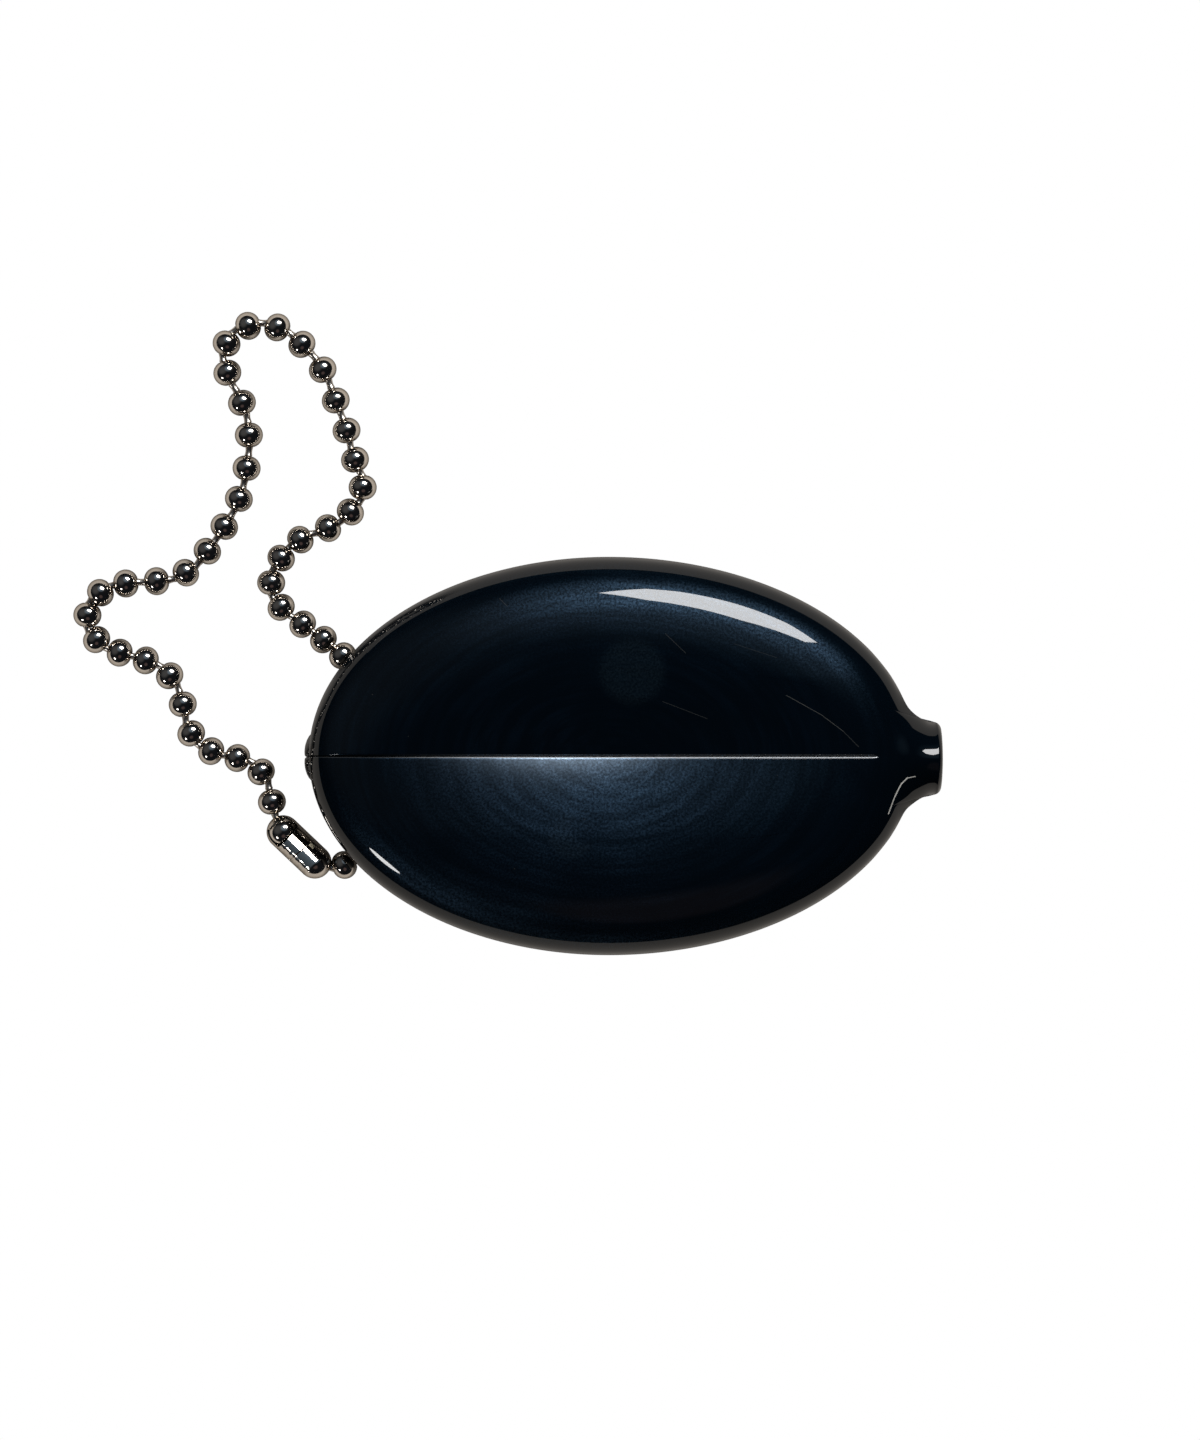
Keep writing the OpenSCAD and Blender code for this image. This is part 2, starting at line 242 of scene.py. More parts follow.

# Hairlines, and the painted highlight along the fillet beside the neck: two points in plan, in mm, then width and
# strength
MARKS = [
    ((22.7, 7.8), (27.2, 5.3), 0.10, 0.10), ((27.2, 5.3), (30.0, 3.2), 0.10, 0.10),
    ((30.0, 3.2), (32.0, 1.2), 0.10, 0.05), ((6.9, 7.0), (12.6, 4.8), 0.08, 0.05),
    ((7.2, 15.7), (9.8, 13.2), 0.09, 0.05), ((16.0, 14.4), (21.5, 12.6), 0.08, 0.03),
    ((-31.0, 13.3), (-27.6, 16.6), 0.10, 0.04), ((-14.0, 20.2), (-13.0, 19.2), 0.09, 0.05),
    # these four marks paint the highlight along the fillet beside the neck
    ((35.9, -7.4), (36.7, -5.2), 0.20, 0.9), ((36.7, -5.2), (37.5, -3.6), 0.22, 1.0),
    ((37.5, -3.6), (38.3, -2.8), 0.22, 1.0), ((38.3, -2.8), (39.3, -2.6), 0.17, 0.9),
]


def wiping_arcs(g, plan_oval, radius):
    """Wiping marks run round the oval: noise drawn out along ellipses."""
    x, y = g.parts(plan_oval)
    turn = g.maths("ARCTAN2", y, x)
    polar = g.add("CombineXYZ", {0: g.times(radius, 26.0), 1: g.times(turn, 1.1)})
    return g.span(g.noise(polar, 1.0, 5.0, 0.62), 0.38, 0.68)


def scratches(g, plan):
    """Short fine scratches in a few directions."""
    lines = []
    for angle in SCRATCH_ANGLES:
        turned = g.add("VectorRotate", {"Vector": plan, "Angle": angle}, rotation_type="Z_AXIS")
        lines.append(g.span(g.noise(g.vector("MULTIPLY", turned, (0.5, 5.5, 1)), 1.0, 2.0), 0.66, 0.78))
    return g.greatest(*lines)


def painted_camera_reflections(g, plan):
    """Painted reflections of the camera: a pale round spot on the upper lip and a crescent on the lower one."""
    painted_reflection = g.span(g.distance(plan, CAMERA_SPOT_AT), 3.2, 4.9, 1.0, 0.0)
    crescent = g.times(g.span(g.distance(plan, CRESCENT_AT), 2.4, 3.2, 1.0, 0.0),
                       g.span(g.distance(plan, CRESCENT_BITE_AT), 1.7, 2.3))
    return g.plus(painted_reflection, crescent)


def hairlines_and_painted_highlight(g, plan):
    lines = []
    for (ax, ay), (bx, by), width, strength in MARKS:
        way = (bx - ax, by - ay, 0)
        from_a = g.vector("SUBTRACT", plan, (ax, ay, 0))
        t = g.maths("MULTIPLY", g.dot(from_a, way), 1 / (way[0] ** 2 + way[1] ** 2), clamp=True)
        lines.append(g.span(g.distance(from_a, g.tinted(way, t)), 0.2 * width, 0.5 * width, strength, 0.0))
    return g.greatest(*lines)


def dust(g, plan):
    speck = g.add("TexVoronoi", {"Vector": plan, "Scale": 0.30}, "Distance")
    return g.times(g.span(speck, 0.02, 0.05, 1.0, 0.0), g.span(g.noise(plan, 0.9, 1.0), 0.60, 0.66))


def haze_and_painted_sheen(g, across, up, wear):
    """Light scattered by worn vinyl, and a painted sheen: bells raise the gloss colour on the lower lip, palest right
    beside the slit, and on a band of the upper lip.
    """
    lower = g.span(up, -0.06, 0.0, 1.0, 0.0)
    # painted sheen: bells that raise the gloss colour on the lower lip and on a band of the upper lip
    broad_sheen = g.times(g.bell(across, -5.5, 15.5), g.bell(up, 0.0, 22.0))
    crown_sheen = g.times(g.bell(across, -11.0, 12.0), g.bell(up, 17.5, 5.0))
    on_lower = g.times(g.plus(0.5, g.times(broad_sheen, 8.0)), lower)
    on_upper = g.times(g.plus(1.15, g.times(crown_sheen, 0.9)), g.maths("SUBTRACT", 1.0, lower))
    haze = g.tinted(HAZE_AND_SHEEN_COLOUR, g.times(wear, g.plus(on_lower, on_upper)))
    # painted sheen right beside the slit, on the lower lip
    core = g.times(g.bell(across, -6.3, 9.0), g.maths("POWER", math.e, g.maths("DIVIDE", up, 1.3)))
    pale = g.tinted(PAINTED_SHEEN_COLOUR, g.times(core, lower, g.plus(0.6, g.times(wear, 0.4))))
    return g.add("BsdfGlossy", {"Color": g.vector("ADD", haze, pale),
                                "Roughness": g.span(lower, 0.0, 1.0, HAZE_ROUGH_UPPER, HAZE_ROUGH_LOWER)},
                 distribution="BECKMANN")


def painted_slit_highlight(g, across, up):
    """Painted highlight along the lower lip's edge at the slit, where the rounded edge would catch the softbox, most
    of it right of the left quarter.
    """
    line = g.span(g.maths("ABSOLUTE", g.maths("SUBTRACT", up, EDGE_Y)), 0.02, 0.075, 1.0, 0.0)
    along = g.times(g.span(across, EDGE_LEFT, EDGE_LEFT + 22, 0.05, 1.15),
                    g.span(across, EDGE_RIGHT - 0.2, EDGE_RIGHT + 0.2, 1.0, 0.0))
    return g.times(line, along)


def vinyl_shader(g):
    coord = g.add("TexCoord", out="Object")
    plan = g.vector("MULTIPLY", coord, (1 / MM, 1 / MM, 0))
    across, up = g.parts(plan)
    plan_oval = g.vector("MULTIPLY", plan, (1 / LEFT, 1 / HALF_W, 0))
    radius = g.vector("LENGTH", plan_oval, out="Value")
    inside = g.span(radius, 0.90, 0.985, 1.0, 0.0)
    front = g.span(g.dot(coord, (0, 0, 1 / MM)), MID_Z + 0.3, MID_Z + 1.1)

    arcs = wiping_arcs(g, plan_oval, radius)
    cloud = g.span(g.noise(plan, 0.07), 0.3, 0.7)
    grain = g.span(g.noise(plan, 3.2, 3.0, 0.75), 0.36, 0.68, 0.25, 1.75)
    wear = g.times(grain, g.plus(0.55, g.times(arcs, 0.5)))
    wear = g.plus(wear, g.times(scratches(g, plan), 0.55))
    wear = g.times(wear, g.plus(0.7, g.times(cloud, 0.6)), inside)

    swirl = g.tinted(SWIRL_COLOUR, g.times(arcs, cloud, inside))
    # painted reflections of the camera, added to the wiping swirls' diffuse colour
    painted_reflection = g.tinted(CAMERA_REFLECTION_COLOUR, g.times(painted_camera_reflections(g, plan), grain))
    # hairlines and dust, with the painted highlight beside the neck
    marks_and_highlight = g.plus(hairlines_and_painted_highlight(g, plan), g.times(dust(g, plan), 0.10))
    total = g.add("BsdfPrincipled", {"Base Color": (*VINYL_COLOUR, 1), "Roughness": 0.03, "IOR": 1.45})
    for layer in (haze_and_painted_sheen(g, across, up, wear),
                  g.add("BsdfDiffuse", {"Color": g.vector("ADD", swirl, painted_reflection)}),
                  g.add("BsdfDiffuse", {"Color": g.tinted(MARK_AND_HIGHLIGHT_COLOUR, g.times(marks_and_highlight, front))}),
                  g.add("BsdfDiffuse", {"Color": g.tinted(SLIT_HIGHLIGHT_COLOUR, g.times(painted_slit_highlight(g, across, up), front))})):
        total = g.add("AddShader", {0: total, 1: layer})
    return total


def glow(g, strength):
    return g.add("Emission", {"Color": (1, 1, 1, 1), "Strength": strength})


nickel = material("nickel", metal, roughness=0.11, **NICKEL)
rod_metal = material("rod_metal", metal, roughness=0.28, **NICKEL)
brass = material("brass", metal, roughness=0.35, **BRASS)
vinyl = material("vinyl", vinyl_shader)


# ---------------------------------------------------------------- meshes
class Patches:
    """Grids of points, in mm, joined into one mesh, each with its own smooth normals."""

    def __init__(self):
        self.points, self.normals, self.faces = [], [], []
        self.count = 0

    def grid(self, p, n=None, wrap=False, flip=False):
        p = np.asarray(p, float)
        rows, cols = p.shape[:2]
        if n is None:
            n = normals_of(p, wrap) * (-1 if flip else 1)
        index = np.arange(rows * cols).reshape(rows, cols) + self.count
        if wrap:
            index = np.concatenate([index, index[:, :1]], 1)
        a, b, c, d = index[:-1, :-1], index[:-1, 1:], index[1:, 1:], index[1:, :-1]
        quads = np.stack([a, d, c, b] if flip else [a, b, c, d], -1).reshape(-1, 4)
        self.points.append(p.reshape(-1, 3))
        self.normals.append(n.reshape(-1, 3))
        self.faces.append(quads)
        self.count += rows * cols
        return self

    def make(self, name, mat):
        mesh = bpy.data.meshes.new(name)
        mesh.from_pydata((np.concatenate(self.points) * MM).tolist(), [], np.concatenate(self.faces).tolist())
        mesh.polygons.foreach_set("use_smooth", [True] * len(mesh.polygons))
        mesh.update()
        mesh.normals_split_custom_set_from_vertices(np.concatenate(self.normals).tolist())
        mesh.materials.append(mat)
        return link(bpy.data.objects.new(name, mesh))


def normals_of(p, wrap=False):
    """Unit normals of a grid of points, cross(along columns, along rows)."""
    along = np.roll(p, -1, 1) - np.roll(p, 1, 1) if wrap else np.gradient(p, axis=1)
    n = np.cross(along, np.gradient(p, axis=0))
    size = np.linalg.norm(n, axis=2, keepdims=True)
    n = n / np.maximum(size, 1e-12)
    n[size[..., 0] < 1e-12] = (0, 0, 1)
    return n


def resample(line, count, weight=None):
    """The line at count points, evenly by length, or by length times weight."""
    line = np.asarray(line, float)
    step = np.linalg.norm(np.diff(line, axis=0), axis=1)
    if weight is not None:
        step = step * weight((line[1:] + line[:-1]) / 2)
    s = np.concatenate([[0], np.cumsum(step)])
    at = np.linspace(0, s[-1], count)
    return np.stack([np.interp(at, s, line[:, i]) for i in range(line.shape[1])], 1)


def between(a, b, steps):
    """Grid of rows from line a to line b."""
    return a[None] + (b - a)[None] * np.asarray(steps)[:, None, None]


def with_z(plan, z):
    return np.concatenate([plan, z[..., None]], -1)


# ---------------------------------------------------------------- the moulded purse: heights over the plan
def half_len(x):
    return np.where(x < 0, LEFT, RIGHT)


def edge_distance(x, y, inset=0.0):
    """About the distance from the oval's edge, inwards."""
    a, b = half_len(x) - inset, HALF_W - inset
    u = np.maximum(1e-3, np.hypot(x / a, y / b))
    return np.maximum(0, 1 - u) * u / np.maximum(1e-6, np.hypot(x / a**2, y / b**2))


def dome(d):
    return (1 - ramp(d, BAND, 0) ** FRONT_P) ** DOME_P


def valley(x, y):
    return (VALLEY * np.maximum(0, 1 - np.abs(y) / VALLEY_W) ** 1.5
            * np.maximum(0, 1 - (x / SLIT_END) ** 4))


def front_rise(x, y, inset=0.0):
    s = 1 - TAPER * (x / half_len(x)) ** 2
    d = edge_distance(x, y, inset)
    return s * (FRONT_H - inset) * dome(d / s) - valley(x, y) * np.minimum(1, d / VALLEY_FADE)


def back_drop(x, y, inset=0.0, depth=BACK_H):
    c = np.maximum(0, 1 - (x / (half_len(x) - inset)) ** 2)
    v = np.clip(np.abs(y) / np.maximum(1e-9, (HALF_W - inset) * np.sqrt(c)), 0, 1)
    return depth * c**BACK_P * (1 - v**3) ** DOME_P


# The neck, from its root in the purse over a flare and a cylinder to its rounded rim
NECK_RIM_X = NECK_END - NECK_ROUND
FLARE_X = NECK_RIM_X - 0.85 * NECK_F
ROOT_X = NECK_RIM_X - NECK_F - NECK_SINK
ROOT_R = NECK_R + ROOT_WIDE


def neck_flare(x):
    t = np.clip(NECK_RIM_X - x, 0, NECK_F)
    return NECK_F - np.sqrt(np.maximum(0, NECK_F**2 - t**2))


def neck_half_width(x):
    """Straight from the root to FLARE_X, then along the flare's arc."""
    at_flare = NECK_R + neck_flare(np.array(FLARE_X))
    return np.where(x < FLARE_X, ROOT_R + ramp(x, ROOT_X, FLARE_X) * (at_flare - ROOT_R), NECK_R + neck_flare(x))


def neck_rise(x, y):
    over = ramp(x, NECK_RIM_X, NECK_END)
    end = ramp(x, NECK_END, NECK_END + NECK_TIP)
    rim = np.where(x > NECK_END, (NECK_R - NECK_ROUND) * np.sqrt(1 - end**2),
                   NECK_R - NECK_ROUND + NECK_ROUND * np.sqrt(1 - over**2))
    wide = np.where(over > 0, rim, neck_half_width(x))
    tall = np.where(over > 0, rim, NECK_R - np.minimum(DIP_RATE * np.maximum(0, DIP_X - x) ** 2, DIP))
    inside = np.clip(1 - np.abs((y - NECK_Y) / np.maximum(wide, 1e-6)) ** NECK_P, 0, 1)
    return np.where(x < ROOT_X, 0, tall * inside ** (1 / NECK_P))


def join(a, b):
    """The greater of two rises, with a soft fillet where they meet."""
    k = np.minimum(FILLET, FILLET_SHARE * np.minimum(a, b)) + 1e-9
    h = np.clip(1 - np.abs(a - b) / k, 0, 1)
    return np.maximum(a, b) + h * h * k / 4


def front_z(x, y):
    return MID_Z + join(front_rise(x, y), neck_rise(x, y))


def back_z(x, y):
    return np.maximum(0.0, MID_Z - join(back_drop(x, y), neck_rise(x, y)))


def inner_z(x, y):
    return MID_Z + np.maximum(LEAST_WALL, front_rise(x, y, WALL))


# ---------------------------------------------------------------- the moulded purse: lines in plan
COLS = 260                      # points of a line from the left tip to the right one
FINE = 400                      # points of an arc before it is resampled
OVAL_TO_NECK_X = 36.5           # the neck leaves the oval somewhere right of this


def outline_half(side):
    """Plan outline from the left tip round to the middle of the neck's end, on the side 1 or -1."""
    xs = np.concatenate([np.linspace(OVAL_TO_NECK_X, FLARE_X, FINE), np.linspace(FLARE_X, NECK_RIM_X, FINE)[1:]])
    neck_y = side * NECK_Y + neck_half_width(xs)
    oval_y = HALF_W * np.sqrt(np.maximum(0, 1 - (xs / RIGHT) ** 2))
    first = int(np.argmax(neck_y > oval_y))
    left = [(-LEFT * math.cos(a), HALF_W * math.sin(a)) for a in np.linspace(0, math.pi / 2, FINE)]
    right = [(RIGHT * math.cos(a), HALF_W * math.sin(a))
             for a in np.linspace(math.pi / 2, math.acos(xs[first] / RIGHT), FINE)[1:]]
    neck = list(zip(xs[first + 1:], neck_y[first + 1:]))
    reach = NECK_R - NECK_ROUND
    rim = [(NECK_RIM_X + NECK_ROUND * math.sin(a), side * NECK_Y + reach + NECK_ROUND * math.cos(a))
           for a in np.linspace(0, math.pi / 2, 60)[1:]]
    end = [(NECK_END + NECK_TIP * math.sqrt(1 - (r / reach) ** 2), side * NECK_Y + r)
           for r in np.linspace(reach, 0.0, 60)[1:]]
    end = [p for p in end if p[1] > 0] + [(NECK_END + NECK_TIP, 0.0)]
    # denser round the neck, and softened where the neck leaves the oval
    line = resample(left + right + neck + rim + end, COLS, lambda p: 1 + 3.0 * ramp(p[:, 0], 35, 38))
    soft = (ramp(line[:, 0], 34, 36) * ramp(line[:, 0], 41.3, 40.5))[1:-1, None]
    for _ in range(60):
        line[1:-1] += 0.5 * soft * ((line[2:] + line[:-2]) / 2 - line[1:-1])
    line[:, 1] *= side
    return line


def lip_border():
    """Outer border of the upper lip in plan: half a superellipse over the slit."""
    a = np.linspace(math.pi, 0, 10 * FINE)
    middle, reach = (SLIT_END + LIP_START) / 2, (SLIT_END - LIP_START) / 2
    x = middle + reach * np.sign(np.cos(a)) * np.abs(np.cos(a)) ** (2 / LIP_P)
    return resample(np.stack([x, LIP_W * np.abs(np.sin(a)) ** (2 / LIP_P)], 1), COLS)


def cut_half_width(x):
    """Half width of the knife cut, closing at its right end."""
    return KERF / 2 * ramp(x, SLIT_END, SLIT_END - 0.6)


def round_trip(up, down):
    """From the left tip along the upper line to the right, and back along the lower one."""
    return np.concatenate([up, down[::-1][1:]])


outer_up, outer_down = outline_half(1), outline_half(-1)
outer_up[0, 1], outer_down[0, 1] = KERF / 2, -KERF / 2
lip_up = lip_border()
lip_up[:, 1] = np.maximum(lip_up[:, 1], cut_half_width(lip_up[:, 0]))
lip_up[-1, 1] = 0
slit_up = np.stack([lip_up[:, 0], np.minimum(cut_half_width(lip_up[:, 0]), lip_up[:, 1])], 1)
outer = round_trip(outer_up, outer_down)
lips = round_trip(lip_up, lip_up * (1, -1))
slit = round_trip(slit_up, slit_up * (1, -1))
back_mid = np.stack([np.clip(outer[:, 0], -34, 36) * 0.8, np.zeros(len(outer))], 1)

# ---------------------------------------------------------------- the moulded purse: its skin
near_edge = np.array([0, .006, .02, .045, .08, .12, .16, .2, .24, .28, .35, .5, .75])
lip_steps = np.concatenate([near_edge, np.linspace(1.1, LIP_W - KERF / 2, 26)]) / (LIP_W - KERF / 2)
LIP_ROWS = len(lip_steps)
lip_plan = between(slit, lips, lip_steps)
lip_x, lip_y = lip_plan[..., 0], lip_plan[..., 1]
from_cut = np.abs(lip_y) - np.abs(slit[None, :, 1])
drop = EDGE_ROUND - np.sqrt(np.maximum(0, EDGE_ROUND**2 - np.maximum(0, EDGE_ROUND - from_cut) ** 2))
drop *= ramp(lip_x, SLIT_END, SLIT_END - 1) * ramp(lip_x, LIP_START, LIP_START + 1)
lip_skin = with_z(lip_plan, front_z(lip_x, lip_y) - drop)

body_plan = between(lips, outer, 1 - (1 - np.linspace(0, 1, 50)) ** 2)
body_skin = with_z(body_plan, front_z(body_plan[..., 0], body_plan[..., 1]))
body_skin[-1, :, 2] = MID_Z

outer_under = outer.copy()
outer_under[[0, -1], 1] = 0
back_plan = between(outer_under, back_mid, np.linspace(0, 1, 40) ** 1.7)
back_skin = with_z(back_plan, back_z(back_plan[..., 0], back_plan[..., 1]))
back_skin[0, :, 2] = MID_Z

whole = np.concatenate([lip_skin, body_skin[1:], back_skin[1:]])


def relax(p, first, weight, times):
    """Evens out a grid of points from row first on, by weight, to form fillets."""
    for _ in range(times):
        q = p[first - 1:]
        mean = q.copy()
        mean[1:-1, 1:-1] = (q[2:, 1:-1] + q[:-2, 1:-1] + q[1:-1, 2:] + q[1:-1, :-2]) / 4
        q += (mean - q) * weight[first - 1:, :, None] * 0.6


near_neck = (ramp(whole[..., 0], 34.2, 36.7) * ramp(whole[..., 0], 41.2, 40.4)
             * ramp(np.abs(whole[..., 1]), 10.5, 7.5))
relax(whole, LIP_ROWS + 1, near_neck, 30)
whole_n = normals_of(whole)
if whole_n[LIP_ROWS + 10, 20, 2] < 0:           # a point of the front, which looks up
    whole_n = -whole_n


def neck_normals(x, n):
    """The neck is a little flatter on the softbox's side, and its flare runs out before the end."""
    nx = np.clip(0.236 + 0.116 * (40.16 - x), -0.06, 0.6)
    ny = np.interp(n[..., 1], (-1, -0.2, 0.14, 0.33, 1), (-1, -0.2, 0.26, 0.42, 1))
    turned = np.stack([nx, ny, np.sqrt(np.maximum(0.02, 1 - nx**2 - ny**2))], -1)
    return turned / np.linalg.norm(turned, axis=-1, keepdims=True)


on_neck = ramp(whole[..., 0], 37, 39) * ramp(whole[..., 0], 42.4, 42.25) * (whole[..., 2] > MID_Z)
whole_n += (neck_normals(whole[..., 0], whole_n) - whole_n) * on_neck[..., None]


def mould_inside():
    """The hollow's skin, from under the lips' outer border down to the back."""
    theta = np.arctan2(outer[:, 1] / HALF_W, outer[:, 0] / half_len(outer[:, 0]))
    line = np.stack([(half_len(outer[:, 0]) - WALL) * np.cos(theta), (HALF_W - WALL) * np.sin(theta)], 1)
    start = np.minimum(np.abs(lips), np.abs(line)) * np.sign(lips)
    top_plan = between(start, line, 1 - (1 - np.linspace(0, 1, 14)) ** 2)
    top = with_z(top_plan, inner_z(top_plan[..., 0], top_plan[..., 1]))
    low_plan = between(line, back_mid * 0.9, np.linspace(0, 1, 14) ** 1.7)
    low = with_z(low_plan, MID_Z - back_drop(low_plan[..., 0], low_plan[..., 1], WALL, MID_Z - WALL))
    top[-1, :, 2] = low[0, :, 2] = MID_Z
    return np.concatenate([top, low[1:]])


def underside(top):
    """The wall's inner face under these points of the skin."""
    low = top.copy()
    low[..., 2] = np.minimum(inner_z(top[..., 0], top[..., 1]), top[..., 2] - LEAST_WALL)
    return low


shell = Patches().grid(whole[LIP_ROWS - 1:], whole_n[LIP_ROWS - 1:])
shell.grid(np.stack([body_skin[0], underside(body_skin[0])]))
shell.grid(mould_inside())
for col in (0, -1):             # walls of the cut through the left tip
    top = body_skin[:, col]
    shell.grid(np.stack([top, with_z(top[:, :2], np.minimum(top[:, 2], CUT_LOW))]))
purse_shell = shell.make("purse_shell", vinyl)
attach(purse_shell, "purse")
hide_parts("purse_body")

# ---------------------------------------------------------------- the lips, each in two halves
BEND_REACH = 9.0                # listed with each half, beside the slit's end: this far from the middle


def lip_half(name, columns):
    """A piece of a lip: skin, underside, and the walls along the cut and along the outer border."""
    top = lip_skin[:, columns]
    low = underside(top)
    piece = Patches().grid(top, whole_n[:LIP_ROWS][:, columns]).grid(low)
    piece.grid(np.stack([top[0], low[0]])).grid(np.stack([top[-1], low[-1]]))
    return piece.make(name, vinyl)


for lip_name, columns in (("upper_lip", np.arange(COLS)), ("lower_lip", np.arange(2 * COLS - 2, COLS - 2, -1))):
    middle = int(np.argmin(np.abs(lips[columns, 0])))
    for part, chosen, start, end in (("left", columns[:middle + 1], LIP_START, -BEND_REACH),
                                     ("right", columns[middle:], SLIT_END, BEND_REACH)):
        piece = lip_half(f"{lip_name}_{part}", np.sort(chosen))
        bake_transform(piece)
        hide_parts(lip_name)

# ---------------------------------------------------------------- the ear: a lug with a flared hole across it
# From the middle outwards: distance from the ear's middle plane, share from the hole's wall to the rim
EAR_SECTION = [(0, 0.85), (0.1, 0.93), (0.17, 0.97), (0.3, 0.99), (0.5, 1.0), (0.85, 1.0), (1.25, 0.975), (1.7, 0.92),
               (EAR_W / 2 - 0.9, 0.82), (EAR_W / 2 - 0.4, 0.66), (EAR_W / 2 - 0.1, 0.5), (EAR_W / 2, 0.3),
               (EAR_W / 2 - 0.1, 0.14), (EAR_W / 2 - 0.35, 0.03), (EAR_W / 2 - 0.9, -0.02)]


def ear_rim(a):
    """Hull of the ear's two discs, as seen along Y, in the direction a from the hole's middle."""
    low = np.stack([EAR_R * np.cos(a), EAR_R * np.sin(a)], 1)
    high = np.stack([EAR_TOP_R * np.cos(a), EAR_TOP_Z - EAR_Z + EAR_TOP_R * np.sin(a)], 1)
    return np.where((np.sin(a) > 0)[:, None], high, low)


around = np.linspace(0, 2 * math.pi, 97)[:-1]
hole = np.stack([EAR_HOLE * np.cos(around), EAR_HOLE * np.sin(around)], 1)
rim = ear_rim(around)
rows = []
for y, share in [(-y, share) for y, share in EAR_SECTION[::-1]] + EAR_SECTION[1:]:
    p = hole + (rim - hole) * share
    rows.append(with_z(np.stack([EAR_X + p[:, 0], np.full(len(p), NECK_Y / 2 + y)], 1),
                       np.maximum(GROUND_GAP, EAR_Z + p[:, 1])))
purse_ear = Patches().grid(np.array(rows + rows[:1]), wrap=True).make("purse_ear", vinyl)
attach(purse_ear, "purse")
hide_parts("purse_body")

# ---------------------------------------------------------------- the chain: where its beads and pins lie
centres = {}
for i in range(1, BEADS + 1):
    low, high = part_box(f"bead_{i:02d}")
    centres[i] = np.array((low + high) / 2) / MM


def wrap_at(i):
    return (i - 1) % BEADS + 1


# distance from a bead's centre to the middle of its shell at the hole
hole_reach = BEAD_HOLE - (BEAD_R - BEAD_POLE)
seat = (math.sqrt(BEAD_POLE**2 - hole_reach**2) + math.sqrt((BEAD_POLE - BEAD_WALL) ** 2 - hole_reach**2)) / 2


def pin_ends(i, axes):
    a, b = wrap_at(i), wrap_at(i + 1)
    return centres[a] + seat * axes[a], centres[b] - seat * axes[b]


def pin_way(i, axes):
    start, end = pin_ends(i, axes)
    return unit(end - start)


# a bead's axis turns until it lies between its two pins
axes = {i: unit(unit(centres[i] - centres[wrap_at(i - 1)]) + unit(centres[wrap_at(i + 1)] - centres[i]))
        for i in centres}
for _ in range(6):
    axes = {i: unit(2 * axes[i] + unit(pin_way(i - 1, axes) + pin_way(i, axes))) for i in centres}


def frame_along(p, v, spin=0.0):
    """Matrix that turns Z to v and moves the origin to p, both in mm."""
    turn = Vector(v).to_track_quat("Z", "Y").to_matrix().to_4x4()
    return Matrix.Translation(Vector(p) * MM) @ turn @ Matrix.Rotation(spin, 4, "Z")


# ---------------------------------------------------------------- the chain: beads and pins
def bead_profile(radius, pole):
    """Half section of a pressed bead: an arc of radius pole outside and inside, rounded at the holes."""
    barrel = radius - pole
    inner, middle, round_r = pole - BEAD_WALL, pole - BEAD_WALL / 2, BEAD_WALL / 2
    end = math.acos((BEAD_HOLE + round_r - barrel) / middle)

    def arc(r, start, stop, count):
        return [(barrel + r * math.cos(t), r * math.sin(t)) for t in np.linspace(start, stop, count)]

    x, z = barrel + middle * math.cos(end), middle * math.sin(end)
    lip = [(x + round_r * math.cos(end + t), z + round_r * math.sin(end + t)) for t in np.linspace(0, math.pi, 9)[1:]]
    return arc(pole, -end, end, 49) + lip + arc(inner, end, -end, 17)[1:] + [(r, -z) for r, z in lip[-2::-1]]


def rod_profile(radius, waist):
    """Rod with a head at each end; waist 1 makes it swell beside its middle, 0 leaves it plain."""
    half = [(radius + (waist * (0.07 * (z / 0.5) ** 2 - 0.03) if z < 0.6 else 0.0), z)
            for z in np.linspace(0, PIN_HALF - 0.06, 25)]
    end = PIN_HALF + HEAD_T
    half += [(radius + waist * 0.03, PIN_HALF), (HEAD_R - 0.04, end - 0.03), (HEAD_R, end),
             (HEAD_R * 0.6, end + 0.05), (0.001, end + 0.07)]
    return [(r, -z) for r, z in half[::-1]] + half[1:]


def turned_mesh(profile, count, mat):
    """Mesh of a profile of (radius, z) turned round Z, for many objects to share."""
    a = np.linspace(0, 2 * math.pi, count + 1)[:-1]
    p = np.asarray(profile, float)
    first = Patches().grid(np.stack([p[:, :1] * np.cos(a), p[:, :1] * np.sin(a), np.repeat(p[:, 1:], count, 1)], 2),
                           wrap=True).make("turned", mat)
    mesh = first.data
    bpy.data.objects.remove(first)
    return mesh


def head_room(way, axis):
    """Room that a head needs in a bead in which its pin is tilted."""
    return 0.7 * 2 * HEAD_R * np.linalg.norm(np.cross(way, axis)) / (way @ axis)


SPIN_STEP = 1.7                 # radians from bead to bead, so that no two show the same grain
bead_mesh = turned_mesh(bead_profile(SHOWN_R, SHOWN_POLE), 64, nickel)
plain_bead_mesh = turned_mesh(bead_profile(BEAD_R, BEAD_POLE), 64, nickel)
for i in range(1, BEADS + 1):
    o = link(bpy.data.objects.new(f"ball_{i:02d}", bead_mesh if i < HIDDEN_FROM else plain_bead_mesh))
    o.matrix_world = frame_along(centres[i], axes[i], spin=i * SPIN_STEP)
    if i == CLASP_BEADS[0]:
        o.matrix_world = o.matrix_world @ Matrix.Scale(FULL_BEAD_SCALE, 4)
    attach(o, BODY_OF_BEAD[i])
    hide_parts(f"bead_{i:02d}")

